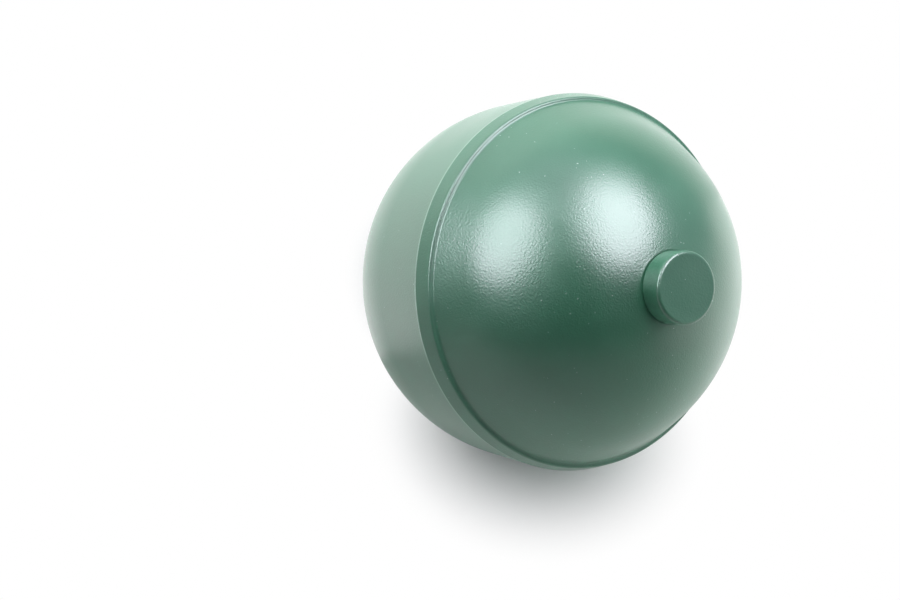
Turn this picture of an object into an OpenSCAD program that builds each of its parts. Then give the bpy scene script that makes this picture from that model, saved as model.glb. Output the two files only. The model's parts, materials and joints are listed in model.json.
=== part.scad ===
// Spherical diaphragm accumulator: a straight-walled bowl and a dome joined at a conical shoulder, a moulded
// diaphragm that parts the gas from the fluid, and a two-way damper valve crimped into the threaded neck.
// Millimetres. +Z runs up the axis to the gas plug, and Z = 0 is the end face of the neck.

/* [Shells] */
// Outside radius of both domes
shell_r = 53; // [50:0.5:58]
// Wall of both domes
shell_wall = 5; // [4.5:0.1:5.8]
// Distance between the centres of the two domes
belt_h = 7.4; // [3:0.1:12]
// Height of the joint face above the upper dome's centre
joint_rise = 19.2; // [18.5:0.1:22]
// Depth of the upper shell's spigot in the lower shell's rim
spigot_h = 2.8; // [2:0.1:4]

/* [Shoulder at the joint] */
// How much the lower shell's straight wall narrows up to the shoulder
wall_draft = 0.1; // [0:0.05:0.5]
// Height of the conical shoulder below the joint face
shoulder_h = 4.5; // [3:0.1:6]
// Distance of the shoulder's upper edge from the upper dome
shoulder_over = 2.4; // [2.3:0.05:2.8]
// Radius on the shoulder's upper edge
shoulder_round = 1.2; // [0.8:0.1:1.3]
// Leg of the fillet weld between the shoulder and the upper dome
weld_leg = 1.2; // [0.8:0.05:1.25]
// Width of the seat in the rim that the upper shell stands on
seat_w = 1.7; // [1.2:0.05:1.9]

/* [Gas plug] */
// Diameter of the plug's head
plug_d = 18.4; // [14:0.1:22]
// Height of the plug's head over the top of the dome
plug_proud = 5.3; // [3.5:0.1:11]
// Radius on the head's upper edge
plug_round = 0.9; // [0.4:0.1:1.6]
// Chamfer under the head
plug_chamfer = 0.4; // [0.2:0.1:0.8]
// Ring of spot face left open round the head
spot_margin = 0.4; // [0.2:0.1:1]
// Diameter of the plug's shank
shank_d = 8; // [6:0.5:10]
// Length of the shank that shows inside the dome
shank_over = 1.5; // [0.5:0.1:3]

/* [Neck] */
// Outside diameter of the neck's thread
thread_d = 35; // [32:0.5:38]
// Length of the neck below the seal face
neck_h = 13.5; // [12.5:0.1:16]
// Width of the thread's run-out groove
relief_w = 1.8; // [1:0.1:2.4]
// Depth of the thread's run-out groove
relief_depth = 1.1; // [0.6:0.1:1.6]
// Ring of shoulder between the thread and the seal face
land_margin = 0.6; // [0.3:0.1:0.7]
// Depth of the undercut in that ring
undercut_h = 0.3; // [0.2:0.05:0.5]
// Chamfer at the thread's start
thread_chamfer = 1.2; // [0.6:0.1:1.6]
// Diameter of the seal face
seal_face_d = 45; // [42:0.5:48]
// Height of the seal face's rim below the dome
seal_rim_h = 3.5; // [2.5:0.1:5]
// Chamfer on the seal face's outer edge
seal_chamfer = 0.8; // [0.4:0.1:1.2]
// Diameter of the port into the lower shell
port_d = 17; // [15:0.5:18.5]
// Height of the crimped lip that holds the damper
crimp_h = 1.5; // [1.1:0.1:2]
// Reach of the crimped lip over the damper
crimp_reach = 1; // [0.6:0.1:1.1]
// Depth of the crimping groove in the neck's end face
stake_depth = 0.5; // [0.3:0.1:0.8]

/* [Diaphragm] */
// Thickness of the membrane
membrane_t = 2.2; // [1.6:0.1:2.6]
// Height of the bead in the rim
bead_h = 3; // [2.4:0.1:3.6]
// Thickness of the clamp ring
clamp_t = 1.5; // [1:0.1:2]
// Height of the clamp ring
clamp_h = 7; // [6:0.1:9]
// Diameter of the button
button_d = 26; // [22:0.5:30]
// Thickness of the button's plate
button_t = 3; // [2:0.1:4]
// Diameter of the button's stem
stem_d = 7; // [5:0.5:9]
// Height of the stem's neck
stem_h = 2.4; // [1.6:0.1:3.2]
// Reach of the stem's head over its neck
stem_lip = 2; // [1.2:0.1:2.6]
// Height of the stem's head
stem_head_h = 1.6; // [1:0.1:2.4]
// Radius on the upper edge of the diaphragm's hub
hub_round = 1; // [0.5:0.1:1.5]
// Gap between the button and what lies round it
move_gap = 0.3; // [0.2:0.05:0.4]

/* [Damper] */
// Diameter of the damper body
damper_d = 22; // [21:0.1:23]
// Wall of the damper body's rim
damper_rim = 1.2; // [0.9:0.1:1.4]
// Thickness of the damper body's web
web_t = 3.5; // [2.5:0.1:4]
// Height over the compression stop that the rim keeps free
rim_over = 1.3; // [0.8:0.1:1.8]
// Number of ports in each ring
port_count = 6; // [4:1:8]
// Pitch circle of the compression ports
outer_pcd = 16.4; // [16:0.1:16.6]
// Diameter of the compression ports
outer_port_d = 1.8; // [1.4:0.1:2]
// Pitch circle of the rebound ports
inner_pcd = 10.4; // [10:0.1:10.8]
// Diameter of the rebound ports
inner_port_d = 2; // [1.4:0.1:2.4]
// Room round each rebound port in the compression shims
feed_margin = 0.2; // [0.1:0.05:0.3]
// Thickness of each shim
shim_t = 0.3; // [0.2:0.05:0.4]
// Step in radius from one shim to the next
shim_step = 1.1; // [0.8:0.1:1.2]
// Diameter of the largest compression shim
compression_shim_d = 19; // [18.6:0.1:19.2]
// Diameter of the largest rebound shim
rebound_shim_d = 13.8; // [13.2:0.1:14.2]
// Diameter of the compression stop
compression_stop_d = 14.4; // [12:0.1:16]
// Diameter of the rebound stop
rebound_stop_d = 12; // [11:0.1:13.6]
// Thickness of both stops
stop_t = 1.2; // [0.8:0.1:1.4]
// Diameter of both spacers
spacer_d = 7.2; // [6.6:0.1:7.6]
// Thickness of both spacers
spacer_t = 0.6; // [0.4:0.1:0.8]
// Diameter of the centre bolt
bolt_d = 5; // [4:0.1:5.4]
// Diameter of the bolt's head
bolt_head_d = 8.4; // [7.4:0.1:10]
// Height of the bolt's head
bolt_head_h = 1.6; // [1.2:0.1:2]
// Distance of the bolt's head above the neck's end face
bolt_inset = 0.7; // [0.4:0.1:1.2]
// Length of the bolt past the nut
bolt_over = 0.6; // [0.3:0.1:1]
// Diameter of the bypass bore
bypass_d = 1.6; // [1:0.1:2]
// Width across the nut's flats
nut_af = 8; // [7:0.1:10]
// Height of the nut
nut_h = 2.2; // [1.6:0.1:2.8]
// Height of the nut's corner chamfers
nut_chamfer = 0.4; // [0.2:0.1:0.6]
// Distance of the nut's round faces inside its flats
nut_face_inset = 0.2; // [0.1:0.05:0.3]

/* [Hidden] */

$fn = 96;
// Radial clearance of pieces that are pressed or seated together
fit_gap = 0.05;
// Length by which a cut runs past the face that it opens
cut_over = 1;
// Larger than any radius or height of the part
reach = 4 * (shell_r + belt_h + plug_proud + neck_h);
// Shims in each stack
shim_count = 3;

// Half the chord of a circle of radius r, at height z over its centre
function half_chord(r, z) = sqrt(r * r - z * z);

// Domes
inner_r = shell_r - shell_wall;
lower_z = neck_h + seal_rim_h + half_chord(shell_r, seal_face_d / 2);
upper_z = lower_z + belt_h;
joint_z = upper_z + joint_rise;
joint_r = half_chord(shell_r, joint_rise);

// Outside of the lower shell: a straight wall up to the shoulder, and a cone with a round upper edge
wall_top_r = shell_r - wall_draft;
shoulder_z = joint_z - shoulder_h;
shoulder_r = joint_r + shoulder_over;
shoulder_lean = atan2(wall_top_r - shoulder_r, shoulder_h);
round_cut = shoulder_round * tan((90 - shoulder_lean) / 2);

// Rim: the bore takes the spigot, the clamp ring's flange and the diaphragm's bead, one below the other
bore_r = joint_r - seat_w;
spigot_z = joint_z - spigot_h;
flange_z = spigot_z - clamp_t;
ledge_z = flange_z - bead_h;

// Diaphragm: it lies in the lower shell and clears the wall by the moving gap
membrane_r = inner_r - move_gap;
membrane_inner_r = membrane_r - membrane_t;
bead_inner_r = half_chord(membrane_inner_r, flange_z - upper_z);
clamp_outer_r = bead_inner_r - fit_gap;

// Button: its plate follows the wall, and its stem is buttoned into the diaphragm's hub
plate_top_r = membrane_r - button_t;
stem_z = lower_z - plate_top_r;
stem_top = stem_z + stem_h + stem_head_h;
hub_r = stem_d / 2 + stem_lip + move_gap + membrane_t;
hub_top = stem_top + move_gap + membrane_t;
pad_r = button_d / 2 + move_gap + membrane_t;
pad_top_r = plate_top_r - move_gap - membrane_t;

// Gas plug
spot_r = plug_d / 2 + spot_margin;
spot_z = upper_z + half_chord(shell_r, spot_r);
plug_top = upper_z + shell_r + plug_proud;
shank_end = upper_z + inner_r - shank_over;

// Damper: the rebound stack hangs under the web, and the compression stack lies on it
stack_t = shim_count * shim_t;
web_z = bolt_inset + bolt_head_h + stop_t + spacer_t + stack_t;
web_top = web_z + web_t;
seat_z = web_top + stack_t + spacer_t + stop_t + rim_over;
nut_z = web_top + stack_t + spacer_t + stop_t;
bolt_top = nut_z + nut_h + bolt_over;
pocket_r = damper_d / 2 + fit_gap;
crimp_r = pocket_r - crimp_reach;

enamel = [0.28, 0.46, 0.37];
steel = [0.62, 0.62, 0.6];
spring_steel = [0.5, 0.52, 0.55];
plated = [0.74, 0.7, 0.56];
nitrile = [0.09, 0.09, 0.1];

// Turns the part of a flat profile that lies right of the axis
module turned() {
    rotate_extrude() intersection() {
        children();
        translate([0, -reach]) square([reach, 2 * reach]);
    }
}

// Rectangle of a profile, from radius r0 to r1 and from height z0 to z1
module band(r0, r1, z0, z1) {
    translate([r0, z0]) square([r1 - r0, z1 - z0]);
}

// Section of both domes and the belt between them, as one closed outline of radius r
module domes(r) {
    translate([0, lower_z]) circle(r);
    translate([0, upper_z]) circle(r);
    band(-r, r, lower_z, upper_z);
}

// Section of the wall and the shoulder, with a round that is tangent to the cone and to the joint face
module shoulder_section() {
    round_r = shoulder_r - round_cut;
    round_z = joint_z - shoulder_round;
    polygon([[0, lower_z], [shell_r, lower_z], [wall_top_r, shoulder_z],
             [shoulder_r + round_cut * sin(shoulder_lean), joint_z - round_cut * cos(shoulder_lean)],
             [round_r, round_z], [round_r, joint_z], [0, joint_z]]);
    translate([round_r, round_z]) circle(shoulder_round);
}

// Flat ring with a centre hole, lying on height z
module washer(d, hole_d, z, t) {
    translate([0, 0, z]) difference() {
        cylinder(d = d, h = t);
        translate([0, 0, -cut_over]) cylinder(d = hole_d, h = t + 2 * cut_over);
    }
}

// Ring of round holes through whatever lies between heights z and z + h
module hole_ring(pcd, d, z, h, start = 0) {
    for (i = [0 : port_count - 1])
        rotate(start + i * 360 / port_count)
            translate([pcd / 2, 0, z]) cylinder(d = d, h = h, $fn = 32);
}

// Deep fluid-side bowl with the shoulder, the rim's bore and the threaded neck, forged and turned in one
module lower_shell() {
    thread_r = thread_d / 2;
    groove_r = thread_r - relief_depth;
    corner_z = neck_h + undercut_h;
    seal_r = seal_face_d / 2;
    stake_r = crimp_r + crimp_reach + stake_depth;
    color(enamel) turned() difference() {
        union() {
            intersection() {
                translate([0, lower_z]) circle(shell_r);
                band(0, reach, 0, lower_z);
            }
            shoulder_section();
            polygon([[0, corner_z], [groove_r, corner_z], [thread_r + land_margin, neck_h],
                     [seal_r - seal_chamfer, neck_h], [seal_r, neck_h + seal_chamfer],
                     [seal_r, neck_h + seal_rim_h], [0, lower_z]]);
            polygon([[0, 0], [thread_r - thread_chamfer, 0], [thread_r, thread_chamfer],
                     [thread_r, neck_h - relief_w], [groove_r, neck_h - relief_w + relief_depth],
                     [groove_r, corner_z], [0, corner_z]]);
        }
        domes(inner_r);
        band(0, bore_r, ledge_z, joint_z + cut_over);
        band(0, port_d / 2, seat_z, lower_z);
        band(0, pocket_r, crimp_h, seat_z);
        band(0, crimp_r, -cut_over, crimp_h);
        polygon([[stake_r - stake_depth, -cut_over], [stake_r - stake_depth, 0], [stake_r, stake_depth],
                 [stake_r + stake_depth, 0], [stake_r + stake_depth, -cut_over]]);
    }
}

// Gas-side dome with its spigot, spot face and gas hole
module upper_shell() {
    color(enamel) turned() difference() {
        union() {
            intersection() {
                domes(shell_r);
                band(0, reach, joint_z, reach);
            }
            band(0, bore_r - fit_gap, spigot_z, joint_z + fit_gap);
        }
        domes(inner_r);
        band(0, spot_r, spot_z, reach);
        band(0, shank_d / 2 + fit_gap, upper_z, reach);
    }
}

// Fillet weld in the corner between the shoulder's top and the upper dome
module joint_weld() {
    toe_r = half_chord(shell_r, joint_rise + weld_leg);
    color(enamel) turned() polygon([[joint_r + fit_gap, joint_z], [joint_r + fit_gap + weld_leg, joint_z],
                                    [toe_r + fit_gap, joint_z + weld_leg]]);
}

// Plain plug that closes the gas hole
module fill_plug() {
    head_r = plug_d / 2;
    color(enamel) turned() {
        polygon([[0, spot_z], [head_r - plug_chamfer, spot_z], [head_r, spot_z + plug_chamfer],
                 [head_r, plug_top - plug_round], [head_r - plug_round, plug_top - plug_round],
                 [head_r - plug_round, plug_top], [0, plug_top]]);
        translate([head_r - plug_round, plug_top - plug_round]) circle(plug_round);
        band(0, shank_d / 2, shank_end, spot_z + plug_chamfer);
    }
}

// Moulded membrane with its bead in the rim and a hub that grips the button's stem
module diaphragm() {
    color(nitrile) turned() difference() {
        union() {
            difference() {
                intersection() {
                    domes(membrane_r);
                    band(0, reach, 0, ledge_z);
                }
                domes(membrane_inner_r);
            }
            band(bead_inner_r, bore_r - fit_gap, ledge_z, flange_z);
            intersection() {
                translate([0, lower_z]) circle(membrane_r);
                difference() {
                    band(0, pad_r, 0, lower_z);
                    translate([0, lower_z]) circle(pad_top_r);
                }
            }
            band(0, hub_r, stem_z, hub_top - hub_round);
            band(0, hub_r - hub_round, stem_z, hub_top);
            translate([hub_r - hub_round, hub_top - hub_round]) circle(hub_round);
        }
        difference() {
            band(0, button_d / 2 + move_gap, 0, lower_z);
            translate([0, lower_z]) circle(plate_top_r - move_gap);
        }
        band(0, stem_d / 2 + move_gap, stem_z, stem_z + stem_h);
        band(0, stem_d / 2 + stem_lip + move_gap, stem_z + stem_h - move_gap, stem_top + move_gap);
    }
}

// Steel button that covers the port: a dished plate with a headed stem
module diaphragm_button() {
    color(plated) turned() {
        intersection() {
            difference() {
                translate([0, lower_z]) circle(membrane_r);
                translate([0, lower_z]) circle(plate_top_r);
            }
            band(0, button_d / 2, 0, lower_z);
        }
        band(0, stem_d / 2, stem_z - button_t / 2, stem_top);
        band(0, stem_d / 2 + stem_lip, stem_z + stem_h, stem_top);
    }
}

// Angle ring that holds the bead down and keeps it from creeping inwards, with a round end for the membrane
module clamp_ring() {
    color(steel) turned() {
        translate([clamp_outer_r - clamp_t / 2, spigot_z - clamp_h]) circle(d = clamp_t);
        band(clamp_outer_r - clamp_t, bore_r - fit_gap, flange_z, spigot_z);
        band(clamp_outer_r - clamp_t, clamp_outer_r, spigot_z - clamp_h, flange_z);
    }
}

// Valve plate: a web with two rings of ports, between rims that house the two stacks
module damper_body() {
    recess_r = damper_d / 2 - damper_rim;
    color(steel) difference() {
        turned() difference() {
            band(0, damper_d / 2, crimp_h, seat_z);
            band(0, recess_r, crimp_h - cut_over, web_z);
            band(0, recess_r, web_top, seat_z + cut_over);
            band(0, bolt_d / 2 + fit_gap, 0, seat_z);
        }
        hole_ring(outer_pcd, outer_port_d, 0, seat_z);
        hole_ring(inner_pcd, inner_port_d, 0, seat_z, 180 / port_count);
    }
}

// Centre bolt with a slotted head under the rebound stack and the bypass bore along it
module damper_bolt() {
    color(plated) difference() {
        union() {
            translate([0, 0, bolt_inset]) cylinder(d = bolt_head_d, h = bolt_head_h);
            translate([0, 0, bolt_inset]) cylinder(d = bolt_d, h = bolt_top - bolt_inset);
        }
        cylinder(d = bypass_d, h = bolt_top + cut_over);
        translate([-bolt_head_d, -bypass_d / 2, 0])
            cube([2 * bolt_head_d, bypass_d, bolt_inset + bolt_head_h / 2]);
    }
}

// Hexagon nut that clamps both stacks to the web
module damper_nut() {
    corner_r = nut_af / 2 / cos(30);
    face_r = nut_af / 2 - nut_face_inset;
    color(plated) translate([0, 0, nut_z]) difference() {
        intersection() {
            cylinder(r = corner_r, h = nut_h, $fn = 6);
            rotate_extrude()
                polygon([[0, 0], [face_r, 0], [corner_r, nut_chamfer], [corner_r, nut_h - nut_chamfer],
                         [face_r, nut_h], [0, nut_h]]);
        }
        translate([0, 0, -cut_over]) cylinder(d = bolt_d + 2 * fit_gap, h = nut_h + 2 * cut_over);
    }
}

// Spring shim over the compression ports, with holes that feed the rebound ports; i counts up from the web
module compression_shim(i) {
    z = web_top + (i - 1) * shim_t;
    color(spring_steel) difference() {
        washer(compression_shim_d - 2 * (i - 1) * shim_step, bolt_d + 2 * fit_gap, z, shim_t);
        hole_ring(inner_pcd, inner_port_d + 2 * feed_margin, z - cut_over, 3 * cut_over, 180 / port_count);
    }
}

// Washer that gives the compression shims room to bend
module compression_spacer() {
    color(steel) washer(spacer_d, bolt_d + 2 * fit_gap, web_top + stack_t, spacer_t);
}

// Thick washer that limits the bend of the compression shims
module compression_stop() {
    color(steel) washer(compression_stop_d, bolt_d + 2 * fit_gap, web_top + stack_t + spacer_t, stop_t);
}

// Spring shim under the rebound ports; i counts down from the web
module rebound_shim(i) {
    color(spring_steel)
        washer(rebound_shim_d - 2 * (i - 1) * shim_step, bolt_d + 2 * fit_gap, web_z - i * shim_t, shim_t);
}

// Washer that gives the rebound shims room to bend
module rebound_spacer() {
    color(steel) washer(spacer_d, bolt_d + 2 * fit_gap, web_z - stack_t - spacer_t, spacer_t);
}

// Thick washer that limits the bend of the rebound shims
module rebound_stop() {
    color(steel) washer(rebound_stop_d, bolt_d + 2 * fit_gap, bolt_inset + bolt_head_h, stop_t);
}

lower_shell();
upper_shell();
joint_weld();
fill_plug();
diaphragm();
diaphragm_button();
clamp_ring();
damper_body();
damper_bolt();
damper_nut();
compression_shim(1);  // compression_shim_1
compression_shim(2);  // compression_shim_2
compression_shim(3);  // compression_shim_3
compression_spacer();
compression_stop();
rebound_shim(1);  // rebound_shim_1
rebound_shim(2);  // rebound_shim_2
rebound_shim(3);  // rebound_shim_3
rebound_spacer();
rebound_stop();
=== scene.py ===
"""Looks of a spherical diaphragm accumulator: a green enamelled steel sphere on a threaded neck.

Both shells, the plug, the weld and the diaphragm are surfaces of revolution worked out here from their
sections, and the neck carries a real helical thread. The pieces inside keep their solids and get finishes.
Lengths are in metres, +Z runs up the axis to the gas plug, and Z = 0 is the end face of the neck.
"""

import json
import logging
import math
from dataclasses import dataclass
from enum import Enum
from typing import Any, Callable

import bpy
import numpy as np
from mathutils import Matrix, Vector


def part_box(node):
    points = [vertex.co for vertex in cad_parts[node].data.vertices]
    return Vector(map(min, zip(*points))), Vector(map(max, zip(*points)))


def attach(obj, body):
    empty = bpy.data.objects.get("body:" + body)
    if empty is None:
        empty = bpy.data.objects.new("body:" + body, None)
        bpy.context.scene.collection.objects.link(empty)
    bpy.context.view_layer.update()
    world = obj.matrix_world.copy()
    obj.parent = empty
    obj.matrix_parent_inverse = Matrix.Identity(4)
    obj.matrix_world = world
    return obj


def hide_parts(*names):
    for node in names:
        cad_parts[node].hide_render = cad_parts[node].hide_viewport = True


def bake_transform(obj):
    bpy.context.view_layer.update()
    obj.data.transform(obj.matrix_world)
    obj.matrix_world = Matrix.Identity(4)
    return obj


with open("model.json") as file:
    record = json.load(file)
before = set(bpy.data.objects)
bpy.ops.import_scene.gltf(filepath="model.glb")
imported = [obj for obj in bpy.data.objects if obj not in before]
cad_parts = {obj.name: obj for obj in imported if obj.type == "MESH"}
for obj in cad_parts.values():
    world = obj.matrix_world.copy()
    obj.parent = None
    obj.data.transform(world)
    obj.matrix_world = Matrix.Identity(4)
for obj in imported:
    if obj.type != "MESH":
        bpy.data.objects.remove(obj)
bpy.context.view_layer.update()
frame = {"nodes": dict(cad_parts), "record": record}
LOG = logging.getLogger("accumulator")
MM = 0.001
Colour = tuple[float, float, float]
Point = tuple[float, float]


class Cover(Enum):
    """What covers a stretch of a section, from whole paint through paint paled into a painted highlight to
    bare metal.
    """

    PAINT = 0.0
    # Painted highlight: paint paled to stand for the light that an edge catches.
    PAINTED_HIGHLIGHT = 0.5
    METAL = 1.0


@dataclass(frozen=True)
class Stroke:
    """One smooth stretch of a section.

    Attributes:
        points: Radius and height along the stretch, one row for each point.
        corner: Radius of the round at the stretch's end.
        cover: Whole paint, paint paled into a painted highlight, or bare metal.
    """

    points: np.ndarray
    corner: float = 0.0
    cover: Cover = Cover.PAINT


def half_chord(radius: float, height: float) -> float:
    """Half the chord of a circle, at a height over its centre."""
    return math.sqrt(radius**2 - height**2)


def line(start: Point, end: Point, corner: float = 0.0, cover: Cover = Cover.PAINT) -> Stroke:
    """Straight stretch from start to end."""
    return Stroke(np.array([start, end], float), corner, cover)


def lines(points: list[Point], corner: float = 0.0, cover: Cover = Cover.PAINT) -> list[Stroke]:
    """Straight stretches from each point to the next, with the same round at every corner."""
    return [line(a, b, corner, cover) for a, b in zip(points, points[1:])]


def arc(
    centre: Point, radius: float, start: float, end: float, corner: float = 0.0, cover: Cover = Cover.PAINT
) -> Stroke:
    """Round stretch: centre + radius (cos a, sin a), with a running from start to end.

    Args:
        centre: Radius and height of the circle's centre.
        radius: The circle's radius.
        start: First angle in degrees, 0 being straight out from the axis.
        end: Last angle in degrees.
        corner: Radius of the round at the end.
        cover: Whole paint, paint paled into a painted highlight, or bare metal.

    Returns:
        The stretch, with a point about every degree and a half.
    """
    count = max(6, round(abs(end - start) / 1.5)) + 1
    a = np.radians(np.linspace(start, end, count))
    return Stroke(np.array(centre) + radius * np.column_stack([np.cos(a), np.sin(a)]), corner, cover)


def bend(start: Any, corner: Any, end: Any, count: int) -> np.ndarray:
    """Points of the curve (1-s)^2 start + 2s(1-s) corner + s^2 end, with s from 0 to 1."""
    s = np.linspace(0, 1, count)[:, None]
    return (1 - s) ** 2 * np.array(start) + 2 * s * (1 - s) * np.array(corner) + s**2 * np.array(end)


class Section:
    """A section in the plane of radius and height, made of strokes laid end to end.

    SUPPORT is the distance of a support point from a stroke's end, and ROUND_POINTS counts the points of a
    corner's round with both its ends.
    """

    SUPPORT = 0.12 * MM
    ROUND_POINTS = 7

    def __init__(self, strokes: list[Stroke], closed: bool = True) -> None:
        """Rounds the corners and joins the strokes.

        Args:
            strokes: The stretches in order, with the solid on their left.
            closed: Whether the last stroke ends where the first starts. An open section starts and ends
                on the axis.
        """
        self.closed = closed
        count = len(strokes)
        cuts = np.zeros(count)
        for k in range(count if closed else count - 1):
            cuts[k] = self._cut(strokes[k], strokes[(k + 1) % count])
        heads = np.roll(cuts, 1)
        kept = [self._trimmed(s.points, h, t) for s, h, t in zip(strokes, heads, cuts)]
        points: list[np.ndarray] = []
        cover: list[np.ndarray] = []
        for k, stroke in enumerate(strokes):
            following = kept[(k + 1) % count]
            run = [kept[k]]
            if cuts[k] > 0:
                run.append(bend(kept[k][-1], stroke.points[-1], following[0], self.ROUND_POINTS)[1:-1])
            elif closed or k < count - 1:
                run[0] = run[0][:-1]
            stretch = np.concatenate(run)
            points.append(stretch)
            cover.append(np.full(len(stretch), stroke.cover.value))
        self.points = np.concatenate(points)
        self.cover = np.concatenate(cover)

    @staticmethod
    def _cut(stroke: Stroke, following: Stroke) -> float:
        """Length that a corner's round takes off both strokes: round times tan(half the turn).

        Args:
            stroke: The stroke that ends at the corner, with the corner's round.
            following: The stroke that starts there.

        Returns:
            The length along each stroke.
        """
        arriving = stroke.points[-1] - stroke.points[-2]
        leaving = following.points[1] - following.points[0]
        cosine = arriving @ leaving / (np.linalg.norm(arriving) * np.linalg.norm(leaving))
        return stroke.corner * math.tan(math.acos(np.clip(cosine, -1, 1)) / 2)

    def _trimmed(self, points: np.ndarray, head: float, tail: float) -> np.ndarray:
        """Takes head and tail off a stroke, and adds a support point close to each new end.

        The stroke is read by linear interpolation over its running length.

        Args:
            points: The stroke's points.
            head: Length to take off its start.
            tail: Length to take off its end.

        Returns:
            The points that are left.
        """
        at = np.concatenate([[0.0], np.cumsum(np.linalg.norm(np.diff(points, axis=0), axis=1))])
        first, last = head, at[-1] - tail
        support = min(self.SUPPORT, (last - first) / 3)
        inner = at[(at > first + 1.5 * support) & (at < last - 1.5 * support)]
        marks = np.concatenate([[first, first + support], inner, [last - support, last]])
        return np.column_stack([np.interp(marks, at, points[:, k]) for k in range(2)])


def linked(name: str, data: Any) -> bpy.types.Object:
    """A new object with this data, linked to the scene."""
    made = bpy.data.objects.new(name, data)
    bpy.context.scene.collection.objects.link(made)
    return made


class Surface:
    """A grid surface that becomes one mesh object at the origin."""

    def __init__(self, rows: np.ndarray, cover: np.ndarray, closed: bool) -> None:
        """Keeps the grid.

        Args:
            rows: Points of the grid, rows by columns by 3. Columns run round and close on themselves.
            cover: How bare each row is, in the values of Cover.
            closed: Whether the last row joins the first. An open grid ends in a pole at both ends.
        """
        self.rows, self.cover, self.closed = rows, cover, closed

    @classmethod
    def turned(cls, section: Section, segments: int = 192) -> "Surface":
        """Turns a section about the axis: (r cos a, r sin a, z) for each section point and angle a.

        Args:
            section: The section.
            segments: Steps round the axis.

        Returns:
            The surface.
        """
        a = np.linspace(0, 2 * math.pi, segments, endpoint=False)
        r, z = section.points[:, :1], section.points[:, 1:]
        rows = np.stack([r * np.cos(a), r * np.sin(a), np.broadcast_to(z, (len(z), segments))], axis=-1)
        return cls(rows, section.cover, section.closed)

    def mesh_object(self, name: str) -> bpy.types.Object:
        """Puts the grid into a smooth-shaded mesh, with its cover as the attribute bare.

        Row i and column j span the face (i,j), (i,j+1), (i+1,j+1), (i+1,j). A pole is one vertex with
        a fan.

        Args:
            name: Name of the object and its mesh.

        Returns:
            The linked object.
        """
        rows, cover = self.rows, np.repeat(self.cover, self.rows.shape[1])
        n, m = rows.shape[:2]
        ring = np.arange(m)
        after = np.roll(ring, -1)
        index = np.arange(n * m).reshape(n, m)
        low = index if self.closed else index[:-1]
        high = np.roll(index, -1, axis=0) if self.closed else index[1:]
        quads = np.stack([low, low[:, after], high[:, after], high], axis=-1).reshape(-1, 4)
        vertices, faces = rows.reshape(-1, 3), quads.tolist()
        if not self.closed:
            poles = rows[[0, -1]].mean(axis=1)
            vertices = np.concatenate([vertices, poles])
            cover = np.concatenate([cover, self.cover[[0, -1]]])
            faces += np.column_stack([np.full(m, n * m), index[0, after], index[0]]).tolist()
            faces += np.column_stack([np.full(m, n * m + 1), index[-1], index[-1, after]]).tolist()
        mesh = bpy.data.meshes.new(name)
        mesh.from_pydata(vertices.tolist(), [], faces)
        mesh.polygons.foreach_set("use_smooth", np.ones(len(mesh.polygons), bool))
        mesh.attributes.new("bare", "FLOAT", "POINT").data.foreach_set("value", cover.astype(np.float32))
        mesh.validate()
        LOG.info("%s: %d vertices, %d faces", name, len(mesh.vertices), len(mesh.polygons))
        return linked(name, mesh)


class Graph:
    """A node tree with one short call for placing and linking a node."""

    def __init__(self, tree: bpy.types.NodeTree) -> None:
        """Keeps the tree."""
        self.tree = tree

    def place(self, kind: str, sockets: dict[Any, Any] | None = None, **settings: Any) -> bpy.types.Node:
        """Adds a node.

        Args:
            kind: The node's type without its leading ShaderNode.
            sockets: Input name or number to a value, or to an output that is linked to it.
            settings: The node's own properties.

        Returns:
            The new node.
        """
        node = self.tree.nodes.new("ShaderNode" + kind)
        for key, value in settings.items():
            setattr(node, key, value)
        for key, value in (sockets or {}).items():
            if isinstance(value, bpy.types.NodeSocket):
                self.tree.links.new(value, node.inputs[key])
            else:
                node.inputs[key].default_value = value
        return node

    def maths(self, operation: str, *values: Any) -> bpy.types.NodeSocket:
        """A Math node's result for these values or outputs."""
        return self.place("Math", dict(enumerate(values)), operation=operation).outputs[0]

    def vector(self, operation: str, *values: Any) -> Any:
        """A Vector Math node's outputs for these values or outputs."""
        return self.place("VectorMath", dict(enumerate(values)), operation=operation).outputs

    def blend(self, share: Any, a: Any, b: Any) -> bpy.types.NodeSocket:
        """The number a where share is 0 and b where it is 1."""
        return self.place("Mix", {0: share, 2: a, 3: b}, data_type="FLOAT").outputs[0]

    def tint(self, share: Any, a: Any, b: Any) -> bpy.types.NodeSocket:
        """The colour a where share is 0 and b where it is 1."""
        colours = [(*c, 1.0) if isinstance(c, tuple) else c for c in (a, b)]
        return self.place("Mix", {0: share, 6: colours[0], 7: colours[1]}, data_type="RGBA").outputs[2]

    def ramp(self, value: Any, low: float, high: float, to_low: float = 0.0, to_high: float = 1.0) -> Any:
        """Maps low..high to to_low..to_high with a smooth start and end."""
        sockets = {"Value": value, "From Min": low, "From Max": high, "To Min": to_low, "To Max": to_high}
        return self.place("MapRange", sockets, interpolation_type="SMOOTHSTEP").outputs[0]

    def noise(self, vector: Any, scale: Any, detail: float = 2.0) -> bpy.types.NodeSocket:
        """Fractal noise from 0 to 1 over the object's own coordinates."""
        return self.place("TexNoise", {"Vector": vector, "Scale": scale, "Detail": detail}).outputs[0]

    def bump(self, height: Any, depth: float) -> bpy.types.NodeSocket:
        """The normal of a surface that a height of 1 raises by depth."""
        return self.place("Bump", {"Strength": 1.0, "Distance": depth, "Height": height}).outputs[0]

    def feed(self, shader: bpy.types.Node, links: dict[str, bpy.types.NodeSocket]) -> None:
        """Links each output to the shader's input of its name."""
        for label, output in links.items():
            self.tree.links.new(output, shader.inputs[label])


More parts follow.
